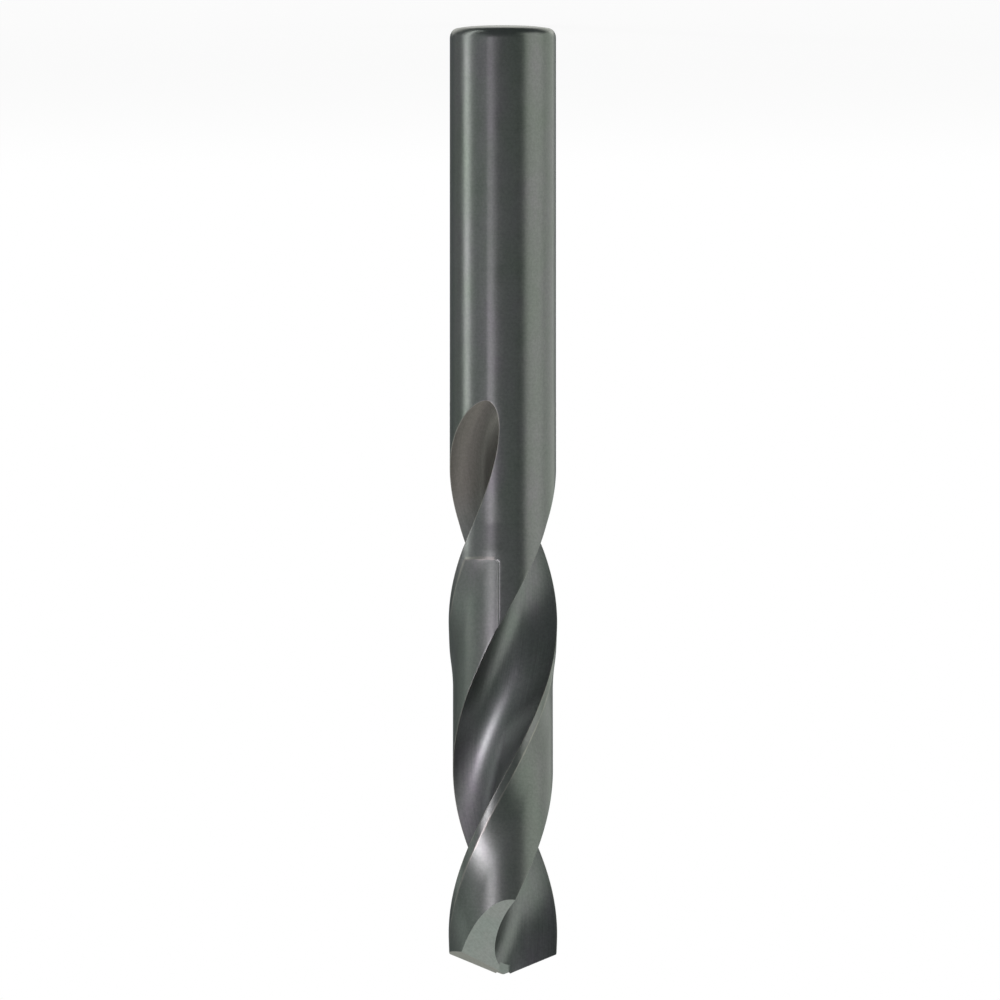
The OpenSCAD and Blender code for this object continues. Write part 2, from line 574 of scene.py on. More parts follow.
    @staticmethod
    def arc(radius: np.ndarray, end_radius: np.ndarray, start: np.ndarray, stop: np.ndarray,
            count: int) -> np.ndarray:
        """Arcs about the axis, in even steps of angle and of radius.

        Args:
            radius: Radius at the start, one a row.
            end_radius: Radius at the end.
            start: Angle of the start.
            stop: Angle of the end.
            count: Points a row.

        Returns:
            Points as rows by columns by x and y.
        """
        share = np.linspace(0.0, 1.0, count)[None]
        return polar(radius[:, None] + (end_radius - radius)[:, None] * share,
                     start[:, None] + (stop - start)[:, None] * share)

    @staticmethod
    def eased(before: np.ndarray, corner: np.ndarray, after: np.ndarray, count: int) -> np.ndarray:
        """Rounded corners, (1-t)^2 before + 2 (1-t) t corner + t^2 after, without their ends."""
        t = np.linspace(0.0, 1.0, count + 2)[1:-1][None, :, None]
        return (1 - t) ** 2 * before[:, None] + 2 * (1 - t) * t * corner[:, None] + t**2 * after[:, None]

    def cleared(self, rim: np.ndarray, base: np.ndarray, start: np.ndarray,
                stop: np.ndarray) -> np.ndarray:
        """The land behind the margin, which the wheel leaves as a shallow hollow.

        With w the distance behind the margin, the depth is 1 - (1 - w / hollow width)^2,
        and beyond the hollow the land dips a little and comes back at the heel. The
        columns crowd towards the margin, as 1 - t to the power of the crowding.

        Args:
            rim: Radius at the margin's trailing edge, one a row.
            base: Radius of the cleared land.
            start: Angle at the land's heel side.
            stop: Angle of the margin's trailing edge.

        Returns:
            Points as rows by columns by x and y.
        """
        share = 1.0 - np.linspace(1.0, 0.0, self.land_columns)[None] ** self.crowding
        angle = start[:, None] + (stop - start)[:, None] * share
        behind = np.radians(stop[:, None] - angle) * base[:, None]
        depth = 1.0 - (1.0 - np.clip(behind / self.hollow_w, 0.0, 1.0)) ** 2
        drop = rim - base
        fade = smooth_step(share / self.dip_share) * (drop / self.clearance_depth)[:, None]
        dip = self.land_dip * depth * fade
        radius = rim[:, None] - drop[:, None] * depth - dip
        return polar(radius, angle)

    def _clearance_span(self, z: np.ndarray, rim_r: np.ndarray, lead: np.ndarray,
                        heel: np.ndarray) -> tuple[np.ndarray, np.ndarray]:
        """Angles between which the clearance lies on the land.

        It starts at the straight edge, with a round nook below, or at the heel once the
        flute has cut that edge away, and it ends at the margin. Rows below it keep the
        shares of the land that it has where it begins, so that the columns run on.

        Args:
            z: Heights of the rows.
            rim_r: Radius over the margins, one a row.
            lead: Angle of the leading edge.
            heel: Angle of the heel.

        Returns:
            The angles at the start and at the margin's trailing edge.
        """
        arc_mm = np.pi / 180.0 * rim_r
        depth = np.clip((z - self.clearance_z) / self.start_corner_r, 0.0, 1.0)
        nook = self.start_corner_r * (1 - np.sqrt(1 - (1 - depth) ** 2)) / arc_mm
        low = np.maximum(self._start_edge_angle() + nook - self.corner_angle(z), heel)
        high = lead - self.margin_w / arc_mm
        first = np.searchsorted(z, self.clearance_z)
        land = lead - heel
        shares = [(edge - heel) / land for edge in (low, high)]
        low, high = (heel + np.where(z < self.clearance_z, share[first], share) * land for share in shares)
        return low, high

    def _edge_distance(self, points: np.ndarray, z: np.ndarray, crest: np.ndarray,
                       marks: tuple[int, int, int]) -> np.ndarray:
        """How near each point lies to an edge that has a bare line, partly worn steel and partly a painted
        highlight.

        The edges are the leading edge, the heel at both ends of the half, the margin's
        trailing edge where the land is cleared, and the step at the start of that.

        Args:
            points: Half of each cross section, rows by columns by x and y.
            z: Heights of the rows.
            crest: Whether the land is cleared, one a row.
            marks: Columns of the start of the step, the margin's trailing edge and the
                leading edge.

        Returns:
            Distances in millimetres, stretched where an edge's bare line of wear and painted highlight is
            thinner.
        """
        step_at, trail_at, lead_at = marks
        run = run_along(points)
        to_heel = np.minimum(run, run[:, -1:] - run)
        near = np.minimum(np.abs(run - run[:, lead_at:lead_at + 1]), self.heel_wear_glint * to_heel)
        to_trail = self.trail_wear_glint * np.abs(run - run[:, trail_at:trail_at + 1])
        near = np.where(crest[:, None], np.minimum(near, to_trail), near)
        columns = np.arange(points.shape[1])
        in_step = (columns >= step_at) & (columns <= trail_at)
        to_step = self.step_wear_glint * np.abs(z - self.clearance_z + self.step_lead)[:, None]
        return np.where(in_step[None], np.minimum(near, to_step), near)

    def half_rows(self, z: np.ndarray) -> tuple[np.ndarray, np.ndarray, np.ndarray]:
        """Half of each cross section: a land from heel to leading edge, then a flute.

        Args:
            z: Heights of the rows, none below the end of the run-out.

        Returns:
            Points as rows by columns by x and y, the zone of each column, and how near
            each point lies to an edge with a bare line of wear and painted highlight, in millimetres.
        """
        shifted = self.lifted(z)
        rim_r = self.blank_radius(z)
        ramp = smooth_step((z - self.clearance_z) / self.step_ramp)
        floor_r = rim_r - self.clearance_depth * ramp
        trail_r = rim_r - self.margin_fall * ramp
        edge_low, edge_high = self._start_edge_span()
        passed = np.clip((z - edge_low) / (edge_high - edge_low), 0.0, 1.0)
        heel_r = rim_r + (floor_r - rim_r) * passed
        start, stop = self.crossings(shifted, rim_r, heel_r)
        lead = angle_of(self.along(shifted, start))
        heel = angle_of(self.along(shifted, stop)) - 180.0
        low, high = self._clearance_span(z, rim_r, lead, heel)

        arc_mm = np.pi / 180.0 * rim_r
        soft = np.minimum(1.0, (stop - start) * self.outline_step / self.narrow_gap)
        soft = soft * np.minimum(1.0, (lead - heel) / self.narrow_land)
        lead_cut = self.lead_round * soft / arc_mm
        heel_cut = self.heel_round * soft / arc_mm
        heel_cut = np.where(passed >= 1.0, heel_cut, np.minimum(heel_cut, self.cut_share * (low - heel)))
        low = np.maximum(low, heel + heel_cut)
        step_h = (rim_r - floor_r) * (1 - passed)
        room = self.cut_share * (low - heel - heel_cut)
        crest_cut = np.minimum(self.step_round / arc_mm, room) * ramp * (1 - passed)
        crest_r = heel_r - self.crest_share * step_h
        cove = np.minimum(self.cove_round, self.cove_share * step_h)
        cove_r = floor_r + cove
        cove_end = low + cove / arc_mm

        flute_from = start + self.lead_round * soft / self.outline_step
        flute_to = stop - self.heel_round * soft / self.outline_step
        heel_in = turned(self.along(shifted, flute_to), -180.0)
        lead_in = self.along(shifted, flute_from)
        share = np.linspace(0.0, 1.0, self.flute_columns)[None]
        flute = self.along(shifted, flute_from[:, None] + (flute_to - flute_from)[:, None] * share)

        heel_edge = self.eased(heel_in, polar(heel_r, heel), polar(heel_r, heel + heel_cut),
                               self.round_columns)
        uncleared = self.arc(heel_r, heel_r, heel + heel_cut, low - crest_cut, self.heel_columns)
        crest = self.eased(polar(heel_r, low - crest_cut), polar(heel_r, low), polar(crest_r, low),
                           self.crest_columns)
        wall = np.stack((polar(crest_r, low), polar(cove_r, low)), axis=1)
        foot = self.eased(polar(cove_r, low), polar(floor_r, low), polar(floor_r, cove_end),
                          self.round_columns)
        hollow = self.cleared(trail_r, floor_r, cove_end, high)
        margin = self.arc(trail_r, rim_r, high, lead - lead_cut, self.margin_columns)[:, 1:]
        lead_edge = self.eased(polar(rim_r, lead - lead_cut), polar(rim_r, lead), lead_in,
                               self.round_columns)

        parts = [(Zone.SHANK, heel_edge), (Zone.SHANK, uncleared), (Zone.LAND, crest), (Zone.LAND, wall),
                 (Zone.LAND, foot), (Zone.LAND, hollow), (Zone.SHANK, margin), (Zone.SHANK, lead_edge),
                 (Zone.FLUTE, flute)]
        points = np.concatenate([block for _, block in parts], axis=1)
        widths = [block.shape[1] for _, block in parts]
        zones = np.repeat([zone.value for zone, _ in parts], widths)
        ends = [int(end) for end in np.cumsum(widths)]
        marks = (ends[1] + self.crest_columns, ends[5] - 1, ends[6] + 1)
        return points, zones, self._edge_distance(points, z, ramp > 0.5, marks)

    def grid(self) -> tuple[np.ndarray, np.ndarray, np.ndarray]:
        """The whole surface as a grid.

        Returns:
            Corner places in millimetres as rows by columns by x, y, z, the zone of each
            face, and each corner's run round the section, height and edge distance.
        """
        z = self.heights()
        above = z[z >= self.runout_end_z - HAIR]
        half, zones, near = self.half_rows(above)
        ends = self.end_profile()
        shank_z = z[z < self.runout_end_z - HAIR]
        low_z = np.concatenate((ends[:, 0], shank_z))
        low_r = np.concatenate((ends[:, 1], np.full(len(shank_z), self.shank_r)))
        shank = polar(low_r[:, None], angle_of(half[0])[None])
        twist = self.corner_angle(np.concatenate((np.full(len(low_z), above[0]), above)))
        points = turned(np.concatenate((shank, half)), twist[:, None])
        points = np.concatenate((points, -points), axis=1)
        rows_z = np.concatenate((low_z, above))
        heights = np.broadcast_to(rows_z[:, None], points.shape[:2])
        places = np.concatenate((points, heights[..., None]), axis=-1)

        near = np.concatenate((np.full((len(low_z), near.shape[1]), FAR_MM), near))
        near = np.concatenate((near, near), axis=1)
        facts = np.stack((run_along(points), heights, near), axis=-1)
        zones = np.concatenate((zones, zones))[None]
        face_z = rows_z[:-1, None]
        uncleared = (zones == Zone.LAND.value) & (face_z < self.clearance_z - HAIR)
        uncut = (face_z < self.runout_end_z - HAIR) | uncleared
        return places, np.where(uncut, Zone.SHANK.value, zones), facts

    def build(self, name: str) -> bpy.types.Mesh:
        """The closed surface as a mesh, with the maps that its finishes read.

        Corners of the grid that fall together become one, and a face that has lost its
        area goes. The last row is closed by one flat face, which the point grind removes.

        Args:
            name: Name of the mesh.

        Returns:
            The mesh in metres. Its map "flow" holds the run round the section and the
            height, and its map "wear" the edge distance and the height.
        """
        places, zones, facts = self.grid()
        rows, columns = places.shape[:2]
        index = np.arange(rows * columns).reshape(rows, columns)
        ahead = np.roll(index, -1, axis=1)
        quads = np.stack((index[:-1], ahead[:-1], ahead[1:], index[1:]), axis=-1).reshape(-1, 4)
        flat = places.reshape(-1, 3)
        cells = np.round(flat / self.merge).astype(np.int64)
        _, first, same = np.unique(cells, axis=0, return_index=True, return_inverse=True)
        same = same.reshape(-1)
        merged = same[quads]
        keep = merged != np.roll(merged, 1, axis=1)
        keep &= (merged != np.roll(merged, 2, axis=1)) | (np.arange(4) < 2)[None]
        whole = keep.sum(axis=1) >= 3

        values = facts.reshape(-1, 3)[quads]
        seam = quads[:, 1] % columns == 0
        round_run = facts[..., 0].max(axis=1) + self.seam_gap
        row_of = quads[seam, 0] // columns
        values[seam, 1, 0] = round_run[row_of]
        values[seam, 2, 0] = round_run[row_of + 1]

        top = same[index[-1]]
        cap = top[top != np.roll(top, 1)]
        loops = np.concatenate((merged[whole][keep[whole]], cap))
        sizes = np.concatenate((keep[whole].sum(axis=1), [len(cap)]))
        slots = np.concatenate((zones.reshape(-1)[whole], [Zone.POINT.value]))
        values = np.concatenate((values[whole][keep[whole]], np.zeros((len(cap), 3))))
        # The second map holds the distance to the edges, whose bare line is worn steel and a painted
        # highlight
        maps = {"flow": values[:, [0, 1]], "edge_wear_glint": values[:, [2, 1]]}
        return filled_mesh(name, flat[first], loops, sizes, slots, maps)


@dataclass
class PointGrind:
    """Flanks and gashes that are ground on the point, as blocks to be cut away.

    Sizes are in millimetres and angles in degrees. The two in _reach are how far the
    blocks go beyond the point, in diameters.
    """

    body: FlutedBody
    gash_turn: float = 80.0
    heel_gash_angle: float = 28.4
    heel_gash_r: float = 0.67
    notch_w: float = 0.8
    notch_angle: float = 45.0
    chisel_w: float = 0.3
    flank_reach: float = 3.0
    gash_reach: float = 2.0

    @staticmethod
    def _block(name: str, low: Vec3, high: Vec3, place: Matrix) -> bpy.types.Mesh:
        """A box between two corners, carried to its place.

        Args:
            name: Name of the mesh.
            low: Lowest corner in millimetres.
            high: Highest corner in millimetres.
            place: Turn and shift, in millimetres.

        Returns:
            The mesh, in metres and with its faces outwards.
        """
        # The eight corners are counted along x first, then y, then z
        pick = np.array([[x, y, z] for z in (0, 1) for y in (0, 1) for x in (0, 1)])
        corners = np.where(pick == 1, np.array(high), np.array(low))
        turn = np.array(place)
        corners = corners @ turn[:3, :3].T + turn[:3, 3]
        faces = np.array([(0, 2, 3, 1), (4, 5, 7, 6), (0, 1, 5, 4), (2, 6, 7, 3), (0, 4, 6, 2), (1, 3, 7, 5)])
        sides, loops = len(faces), faces.ravel()
        square = np.tile([(0.0, 0.0), (1.0, 0.0), (1.0, 1.0), (0.0, 1.0)], (sides, 1))
        maps = {"flow": square, "edge_wear_glint": np.full(square.shape, FAR_MM)}
        return filled_mesh(name, corners, loops, np.full(sides, 4), np.full(sides, Zone.POINT.value), maps)

    def _flank(self, side: int) -> bpy.types.Mesh:
        """Everything above the flank, a plane through the lip that falls away behind it.

        Args:
            side: 0 or 1, for the two halves of the point.

        Returns:
            The block to be cut away.
        """
        body, size = self.body, self.flank_reach * self.body.drill_d
        place = (
            Matrix.Rotation(math.radians(180.0 * side + body.lip_turn), 4, "Z")
            @ Matrix.Translation((0.0, body.web_r, body.lip_top_z))
            @ Matrix.Rotation(math.radians(90.0 - body.half_point), 4, "Y")
            @ Matrix.Rotation(math.radians(body.relief_angle), 4, "X")
        )
        return self._block(f"flank_{side}", (-size, -size, 0.0), (size, size, size), place)

    def _gash(self, side: int, root_r: float, slope: float, side_a: float, side_b: float) -> bpy.types.Mesh:
        """A flat gash ahead of the lip, sloping out and back from the web.

        Args:
            side: 0 or 1, for the two halves of the point.
            root_r: Distance from the axis at the height of the point.
            slope: Angle between the flat and the axis.
            side_a: Where the gash begins across its direction.
            side_b: Where it ends.

        Returns:
            The block to be cut away.
        """
        body, size = self.body, self.gash_reach * self.body.drill_d
        place = (
            Matrix.Rotation(math.radians(180.0 * side + body.lip_turn + self.gash_turn), 4, "Z")
            @ Matrix.Translation((root_r, 0.0, body.overall_len))
            @ Matrix.Rotation(math.radians(90.0 - slope), 4, "Y")
        )
        return self._block(f"gash_{side}", (-size, side_a, 0.0), (size, side_b, size), place)

    def blocks(self) -> list[bpy.types.Mesh]:
        """All blocks, those of one side after those of the other.

        Returns:
            For each side the flank, the gash that splits the point and the notch at its root.
        """
        half = self.notch_w / 2
        cuts: list[bpy.types.Mesh] = []
        for side in (0, 1):
            cuts.append(self._flank(side))
            cuts.append(self._gash(side, self.heel_gash_r, self.heel_gash_angle, -half, self.body.drill_d))
            cuts.append(self._gash(side, self.chisel_w / 2, self.notch_angle, -half, half))
        return cuts


class NodeSheet:
    """Short names for laying out the nodes of a material or of the surroundings."""

    def __init__(self, owner: bpy.types.Material | bpy.types.World) -> None:
        """Starts without any node.

        Args:
            owner: The material or world that gets the nodes.
        """
        owner.use_nodes = True
        self.tree = owner.node_tree
        self.tree.nodes.clear()

    def node(self, kind: str, inputs: dict[int | str, object] | None = None,
             **settings: object) -> bpy.types.Node:
        """Adds a node, and feeds its inputs.

        Args:
            kind: Blender's name of the node after the words ShaderNode.
            inputs: Outputs of other nodes, numbers, vectors or colours, each under the
                name or the number of the input that it goes into.
            settings: The node's own settings by name.

        Returns:
            The node.
        """
        node = self.tree.nodes.new(f"ShaderNode{kind}")
        for name, choice in settings.items():
            setattr(node, name, choice)
        for key, value in (inputs or {}).items():
            socket = node.inputs[key]
            if isinstance(value, Socket):
                self.tree.links.new(value, socket)
            elif isinstance(value, tuple) and len(value) < len(socket.default_value):
                socket.default_value = (*value, 1.0)
            else:
                socket.default_value = value
        return node

    def math(self, kind: str, a: Socket, b: object) -> Socket:
        """A sum of two numbers, such as ADD or MULTIPLY."""
        return self.node("Math", {0: a, 1: b}, operation=kind).outputs[0]

    def spans(self, value: Socket, low: float, high: float, out_low: float, out_high: float) -> Socket:
        """A number carried smoothly from one span to another, and held at its ends."""
        ends = {0: value, 1: low, 2: high, 3: out_low, 4: out_high}
        return self.node("MapRange", ends, interpolation_type="SMOOTHSTEP").outputs[0]

    def noise(self, where: Socket, detail: float, rough: float = 0.55) -> Socket:
        """Noise of grain 1 at the given coordinates."""
        inputs = {"Vector": where, "Scale": 1.0, "Detail": detail, "Roughness": rough}
        return self.node("TexNoise", inputs).outputs[0]

    def blend(self, share: Socket, a: object, b: object) -> Socket:
        """Two colours mixed, with the share of the second."""
        return self.node("Mix", {0: share, 6: a, 7: b}, data_type="RGBA").outputs[2]

    def scaled(self, colour: Socket, factor: Socket) -> Socket:
        """A colour times a number."""
        return self.node("VectorMath", {0: colour, "Scale": factor}, operation="SCALE").outputs[0]

    def axis(self, where: Socket, name: str) -> Socket:
        """One coordinate of a vector."""
        return self.node("SeparateXYZ", {0: where}).outputs[name]

    def place(self, kind: str, scale: Vec3 = (1.0, 1.0, 1.0), turn: Vec3 = (0.0, 0.0, 0.0)) -> Socket:
        """Coordinates of the surface, scaled.

        Args:
            kind: Object, or the name of a map of the mesh.
            scale: Factor for each axis.
            turn: Turn in degrees, made before the scale.

        Returns:
            The coordinates.
        """
        if kind == "Object":
            source = self.node("TexCoord").outputs["Object"]
        else:
            source = self.node("UVMap", uv_map=kind).outputs[0]
        spin = self.node("Mapping", {"Vector": source, "Rotation": tuple(math.radians(t) for t in turn)})
        return self.node("Mapping", {"Vector": spin.outputs[0], "Scale": scale}).outputs[0]


@dataclass(frozen=True)
class OxideFinish:
    """Black-oxide steel as it looks on one zone of the drill.

    The colour wanders between cool, warm and base, and a lighter bare line runs along the edges, partly worn
    steel and partly a painted highlight.
    The four in _scale are how often a pattern changes in a metre along each axis. The
    relief is in metres, and so are the heights runout_low and runout_high, between which
    the colour of the flute's run-out gives way to that of the flute. The turn of the
    wheel marks is in degrees.
    """

    name: str
    grain: Grain
    base: Colour
    cool: Colour
    warm: Colour
    # Colour of the bare line along the edges: worn steel and, in part, a painted highlight where the edges
    # catch the light
    bare_and_glint: Colour = (0.20, 0.196, 0.18)
    roughness: float = 0.34
    metallic: float = 1.0
    streak: float = 0.5
    spread: float = 0.05
    patch_spread: float = 0.015
    relief: float = 0.00002
    relief_share: float = 0.35
    speck_share: float = 0.4
    # Width, core and strength of that bare line of worn steel and painted highlight
    edge_mm: float = 0.06
    edge_core: float = 0.35
    edge_share: float = 0.8
    runout: Colour | None = None
    runout_low: float = 0.033
    runout_high: float = 0.0385
    turn: Vec3 = (0.0, 0.0, 0.0)
    slow_scale: Vec3 = (260.0, 260.0, 150.0)
    patch_scale: Vec3 = (900.0, 900.0, 600.0)
    speck_scale: Vec3 = (5200.0, 5200.0, 5200.0)
    nick_scale: Vec3 = (1500.0, 1500.0, 900.0)

    def _colour(self, sheet: NodeSheet, marks: Socket, patch: Socket, speck: Socket) -> Socket:
        """Colour of the oxide, with slow tints under patches, streaks and specks.

        Args:
            sheet: The nodes of the material.
            marks: Noise of the wheel marks.
            patch: Noise of the patches.
            speck: Noise of the specks.

        Returns:
            The colour.
        """
        slow = sheet.noise(sheet.place("Object", self.slow_scale), 2.0)
        tint = sheet.blend(sheet.spans(slow, 0.38, 0.62, 0.0, 0.85), self.cool, self.warm)
        colour = sheet.blend(sheet.spans(patch, 0.35, 0.68, 0.15, 0.8), tint, self.base)
        if self.runout is not None:
            height = sheet.axis(sheet.place("Object"), "Z")
            share = sheet.spans(height, self.runout_low, self.runout_high, 1.0, 0.0)
            colour = sheet.blend(share, colour, self.runout)
        streaks = sheet.spans(marks, 0.25, 0.75, 1 - self.streak, 1 + self.streak)
        return sheet.scaled(colour, sheet.math("MULTIPLY", streaks, sheet.spans(speck, 0.3, 0.7, 0.92, 1.08)))

    def _wear_and_glint(self, sheet: NodeSheet) -> Socket:
        """Share of bare colour, a narrow and uneven line along an edge, partly worn steel and partly a
        painted highlight.

        Args:
            sheet: The nodes of the material.

        Returns:
            The share.
        """
        reach = sheet.axis(sheet.place("edge_wear_glint"), "X")
        nicks = sheet.spans(sheet.noise(sheet.place("Object", self.nick_scale), 4.0), 0.3, 0.7, 0.35, 1.5)
        core = self.edge_mm * self.edge_core
        return sheet.spans(sheet.math("DIVIDE", reach, nicks), core, self.edge_mm, self.edge_share, 0.0)

    def material(self) -> bpy.types.Material:
        """Lays out the nodes of the finish.

        Returns:
            A metal with slow tints, fine wheel marks in colour, roughness and relief,
            and on all but the ground point a narrow bare line along the edges, partly worn steel and partly a
            painted highlight.
        """
        material = bpy.data.materials.new(self.name)
        sheet = NodeSheet(material)
        patch = sheet.noise(sheet.place("Object", self.patch_scale), 4.0, 0.6)
        speck = sheet.noise(sheet.place("Object", self.speck_scale), 3.0, 0.65)
        map_name, scale = self.grain.value
        marks = sheet.noise(sheet.place(map_name, scale, self.turn), 4.0, 0.7)
        skin = self._colour(sheet, marks, patch, speck)
        # Along the edges the skin turns to the bare colour, worn steel with a painted highlight
        if self.grain is not Grain.STRAIGHT:
            skin = sheet.blend(self._wear_and_glint(sheet), skin, self.bare_and_glint)

        low, high = self.roughness - self.spread, self.roughness + self.spread
        rough = sheet.math("ADD", sheet.spans(marks, 0.2, 0.8, low, high),
                           sheet.spans(patch, 0.3, 0.7, -self.patch_spread, self.patch_spread))
        relief = sheet.math("ADD", marks, sheet.math("MULTIPLY", speck, self.speck_share))
        bump = sheet.node("Bump", {"Strength": self.relief_share, "Distance": self.relief, "Height": relief})
        shader = sheet.node("BsdfPrincipled", {"Base Color": skin, "Metallic": self.metallic,
                                               "Roughness": rough, "Normal": bump.outputs[0]})
        sheet.node("OutputMaterial", {"Surface": shader.outputs[0]})
        return material


FINISHES: dict[Zone, OxideFinish] = {
    Zone.SHANK: OxideFinish(
        "ground_shank", Grain.ROUND, (0.125, 0.133, 0.126), (0.114, 0.127, 0.114), (0.135, 0.130, 0.138),
        streak=0.04, spread=0.015, roughness=0.31, relief=0.0000015),
    Zone.LAND: OxideFinish(
        "relieved_land", Grain.ROUND, (0.120, 0.129, 0.120), (0.112, 0.126, 0.114), (0.128, 0.127, 0.129),
        streak=0.05, spread=0.02, roughness=0.37, relief=0.000002),
    Zone.FLUTE: OxideFinish(
        "wheel_cut_flute", Grain.FLOW, (0.126, 0.133, 0.130), (0.116, 0.130, 0.121), (0.140, 0.131, 0.146),
        metallic=0.95, streak=0.12, spread=0.04, roughness=0.40, relief=0.000005,
        runout=(0.118, 0.112, 0.101)),
    Zone.POINT: OxideFinish(
        "ground_point", Grain.STRAIGHT, (0.213, 0.230, 0.214), (0.197, 0.224, 0.206), (0.222, 0.224, 0.219),
        streak=0.08, spread=0.04, roughness=0.36, relief=0.000003, turn=(0.0, 0.0, 35.0)),
}


@dataclass
class TwistDrill:
    """The drill bit, one piece of steel."""

    body: FlutedBody
    point: PointGrind
    name: str = "twist_drill"
    node: str = "drill_bit"
    sharp_deg: float = 40.0
    weld_mm: float = 0.0015
    normal_weight: int = 80

    def _cut(self, piece: bpy.types.Object) -> None:
        """Takes the point's blocks away from the piece, one after another.

        Args:
            piece: The drill, whose mesh is replaced by the cut one.
        """
        for block in self.point.blocks():
            tool = bpy.data.objects.new(block.name, block)
            bpy.context.scene.collection.objects.link(tool)
            cut = piece.modifiers.new(block.name, "BOOLEAN")
            cut.operation = "DIFFERENCE"
            cut.solver = "MANIFOLD"
            cut.object = tool
            bpy.context.view_layer.update()
            evaluated = piece.evaluated_get(bpy.context.evaluated_depsgraph_get())
            final = bpy.data.meshes.new_from_object(evaluated)
            piece.modifiers.clear()
            old, piece.data = piece.data, final
            bpy.data.meshes.remove(old)
            bpy.data.objects.remove(tool)
            bpy.data.meshes.remove(block)

    def _clean(self, piece: bpy.types.Object) -> None:
        """Draws together the corners that the cuts have left closer than the weld.

        Args:
            piece: The drill.
        """
        work = bmesh.new()
        work.from_mesh(piece.data)
        bmesh.ops.dissolve_degenerate(work, dist=self.weld_mm * MM, edges=work.edges)
        work.to_mesh(piece.data)
        work.free()

    @staticmethod
    def _sharpen_grind(mesh: bpy.types.Mesh) -> None:
        """Marks as sharp the edges that have the ground point on one side only.

        Args:
            mesh: The drill's mesh.
        """
        ground = column(mesh.polygons, "material_index", np.int32) == Zone.POINT.value
        sizes = column(mesh.polygons, "loop_total", np.int32)
        edges = column(mesh.loops, "edge_index", np.int32)
        beside = np.bincount(edges, weights=np.repeat(ground, sizes), minlength=len(mesh.edges)) == 1
        sharp = column(mesh.edges, "use_edge_sharp", bool)
        mesh.edges.foreach_set("use_edge_sharp", sharp | beside)

    def _weigh_normals(self, piece: bpy.types.Object) -> None:
        """Marks sharp edges by angle and leans each corner's normal to its larger faces.

        Args:
            piece: The drill.
        """
        piece.data.shade_smooth()
        piece.data.set_sharp_from_angle(angle=math.radians(self.sharp_deg))
        self._sharpen_grind(piece.data)
        weigh = piece.modifiers.new("weighted", "WEIGHTED_NORMAL")
        weigh.keep_sharp = True
        weigh.weight = self.normal_weight

    def build(self) -> bpy.types.Object:
        """Builds, cuts and dresses the drill.

        Returns:
            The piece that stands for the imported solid.
        """
        mesh = self.body.build(self.name)
        for zone in Zone:
            mesh.materials.append(FINISHES[zone].material())
        piece = bpy.data.objects.new(self.name, mesh)
        bpy.context.scene.collection.objects.link(piece)
        self._cut(piece)
        self._clean(piece)
        self._weigh_normals(piece)
        piece.data.name = self.name
        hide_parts(self.node)
        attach(piece, "root")
        return piece


@dataclass(frozen=True)
class Softbox:
    """A soft studio panel that faces the drill, with sizes in metres.

    The azimuth is counted in degrees from the camera's side, to the right in the picture.
    """

    name: str
    azimuth: float
    height: float
    distance: float
    width: float
    tall: float
    radiance: float
    tint: Colour
    aim_z: float

    def build(self) -> None:
        """Makes the lamp, with its power worked out from the radiance of its face."""
        lamp = bpy.data.lights.new(self.name, "AREA")
        lamp.shape = "RECTANGLE"
        lamp.size = self.width
        lamp.size_y = self.tall
        lamp.color = self.tint
        lamp.energy = self.radiance * math.pi * self.width * self.tall
        turn = math.radians(self.azimuth)
        place = Vector((-math.sin(turn) * self.distance, -math.cos(turn) * self.distance, self.height))
        panel = bpy.data.objects.new(self.name, lamp)
        aim = Vector((0.0, 0.0, self.aim_z)) - place
        panel.matrix_world = Matrix.Translation(place) @ aim.to_track_quat("-Z", "Y").to_matrix().to_4x4()
        panel.visible_camera = False
        bpy.context.scene.collection.objects.link(panel)


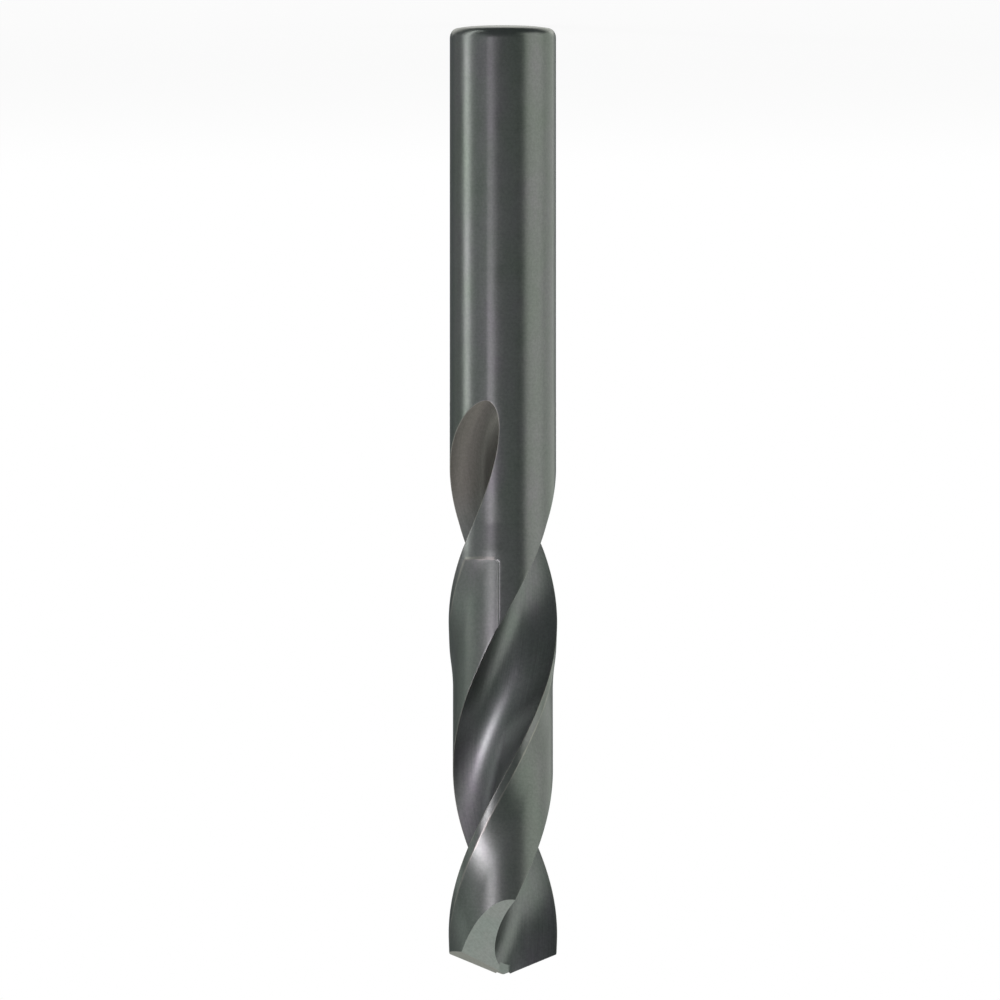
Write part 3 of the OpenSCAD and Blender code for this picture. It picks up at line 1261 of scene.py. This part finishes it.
@dataclass
class Studio:
    """Floor, surroundings, lamps and camera, in metres where the name gives no unit.

    Close to the drill, the camera sees the floor with the given whiteness. From the
    distance fade_from on, the floor fades to plain white, which it reaches at the share
    fade_share of its radius.
    """

    floor_r: float = 0.9
    floor_corners: int = 96
    floor_grey: Colour = (0.55, 0.55, 0.55)
    floor_roughness: float = 0.8
    whiteness: float = 0.93
    fade_from: float = 0.05
    fade_share: float = 0.75
    surround: float = 0.22
    surround_tint: Colour = (0.90, 1.0, 1.0)
    camera_distance: float = 1.5
    sensor_mm: float = 36.0
    near_clip: float = 0.05
    far_clip: float = 20.0
    view_width_mm: float = 73.1
    view_x_mm: float = 0.212
    view_z_mm: float = 34.686
    softboxes: tuple[Softbox, ...] = (
        Softbox("left_strip", -84.0, -0.059, 0.10, 0.024, 0.198, 4.5, (0.97, 1.0, 0.96), -0.059),
        Softbox("left_fill", -55.0, -0.035, 0.25, 0.20, 0.15, 0.44, (0.95, 1.0, 0.97), -0.035),
        Softbox("left_upper", -98.0, 0.072, 0.15, 0.06, 0.040, 1.2, (0.95, 1.0, 0.97), 0.070),
        Softbox("left_tip", -66.0, 0.080, 0.25, 0.10, 0.035, 1.7, (0.96, 1.0, 0.98), 0.064),
        Softbox("left_back", -120.0, 0.020, 0.40, 0.16, 0.30, 0.28, (0.98, 1.0, 0.96), 0.020),
        Softbox("right_near", 74.0, -0.030, 0.42, 0.38, 0.56, 1.46, (0.98, 1.0, 0.93), -0.030),
        Softbox("right_far", 125.0, 0.020, 0.42, 0.38, 0.44, 1.06, (0.97, 1.0, 0.92), 0.020),
        Softbox("front_left", -27.5, 0.190, 0.42, 0.11, 0.115, 26.0, (1.0, 0.90, 1.0), 0.06),
        Softbox("front_band", -26.5, 0.072, 0.42, 0.080, 0.14, 2.9, (0.99, 0.91, 1.0), 0.072),
        Softbox("front_fill", 14.0, 0.030, 0.42, 0.28, 0.12, 0.33, (0.96, 1.0, 0.96), 0.030),
        Softbox("over_tip", 24.0, 0.420, 0.15, 0.52, 0.40, 1.05, (1.0, 0.99, 0.96), 0.05),
        Softbox("over_left", -71.0, 0.330, 0.26, 0.34, 0.30, 0.50, (1.0, 0.98, 0.96), 0.035),
        Softbox("back_high", 180.0, 0.300, 0.40, 0.50, 0.26, 0.50, (1.0, 0.94, 0.82), 0.06),
        Softbox("back_low", 180.0, -0.150, 0.28, 0.50, 0.20, 1.1, (1.0, 0.99, 0.92), 0.0),
    )

    def _floor(self) -> None:
        """A pale round floor under the shank's end.

        The camera sees it almost plain white, and quite white at its rim, and the rest
        is a matt grey that holds the drill's shadow. Gloss doesn't show it and it casts
        no shadow, so that the panels light the steel evenly down to the floor.
        """
        turn = np.linspace(0.0, 360.0, self.floor_corners + 1)[:-1]
        ring = np.concatenate((polar(self.floor_r / MM, turn), np.zeros((self.floor_corners, 1))), axis=1)
        count = np.array([self.floor_corners])
        mesh = filled_mesh("floor", ring, np.arange(self.floor_corners), count, np.array([0]), {})
        mesh.materials.append(self._floor_material())
        floor = bpy.data.objects.new("floor", mesh)
        floor.visible_glossy = False
        floor.visible_shadow = False
        bpy.context.scene.collection.objects.link(floor)

    def _floor_material(self) -> bpy.types.Material:
        """Matt grey, with white light mixed in for rays of the camera and of glass.

        Returns:
            The floor's material.
        """
        material = bpy.data.materials.new("pale_floor")
        sheet = NodeSheet(material)
        grey = sheet.node("BsdfPrincipled", {"Base Color": self.floor_grey,
                                             "Roughness": self.floor_roughness})
        white = sheet.node("Emission", {"Strength": 1.0})
        path = sheet.node("LightPath").outputs
        seen = sheet.math("MAXIMUM", path["Is Camera Ray"], path["Is Transmission Ray"])
        reach = sheet.node("VectorMath", {0: sheet.place("Object")}, operation="LENGTH").outputs["Value"]
        fade_to = self.fade_share * self.floor_r
        share = sheet.math("MULTIPLY", seen, sheet.spans(reach, self.fade_from, fade_to, self.whiteness, 1.0))
        mixed = sheet.node("MixShader", {0: share, 1: grey.outputs[0], 2: white.outputs[0]})
        sheet.node("OutputMaterial", {"Surface": mixed.outputs[0]})
        return material

    def _world(self) -> None:
        """Plain grey surroundings that the camera sees as white."""
        world = bpy.data.worlds.new("studio")
        sheet = NodeSheet(world)
        white = (1.0, 1.0, 1.0)
        seen = sheet.node("LightPath").outputs["Is Camera Ray"]
        level = sheet.node("MapRange", {0: seen, 3: self.surround, 4: 1.0})
        tint = sheet.blend(seen, self.surround_tint, white)
        light = sheet.node("Background", {"Color": tint, "Strength": level.outputs[0]})
        sheet.node("OutputWorld", {"Surface": light.outputs[0]})
        bpy.context.scene.world = world

    def _camera(self) -> None:
        """A long lens, level with the drill and upside down, as the photograph shows it."""
        lens = bpy.data.cameras.new("camera")
        lens.sensor_width = self.sensor_mm
        lens.lens = self.sensor_mm * self.camera_distance / (self.view_width_mm * MM)
        lens.clip_start = self.near_clip
        lens.clip_end = self.far_clip
        camera = bpy.data.objects.new("camera", lens)
        turn = Matrix(((-1.0, 0.0, 0.0), (0.0, 0.0, -1.0), (0.0, -1.0, 0.0))).to_4x4()
        place = Vector((self.view_x_mm * MM, -self.camera_distance, self.view_z_mm * MM))
        camera.matrix_world = Matrix.Translation(place) @ turn
        bpy.context.scene.collection.objects.link(camera)
        bpy.context.scene.camera = camera

    def build(self) -> None:
        """Sets up the whole studio."""
        self._floor()
        self._world()
        for panel in self.softboxes:
            panel.build()
        self._camera()
        bpy.context.scene.view_settings.view_transform = "Standard"


def main() -> None:
    """Builds the drill and the studio."""
    logging.basicConfig(level=logging.INFO, format="%(name)s: %(message)s")
    body = FlutedBody()
    drill = TwistDrill(body, PointGrind(body)).build()
    faces = len(drill.data.polygons)
    log.info("%s: %d faces, run-out ends at %.2f mm", drill.name, faces, body.runout_end_z)
    studio = Studio()
    studio.build()
    log.info("studio: %d panels round a floor of %.1f m", len(studio.softboxes), studio.floor_r)


if __name__ == "__main__":
    main()
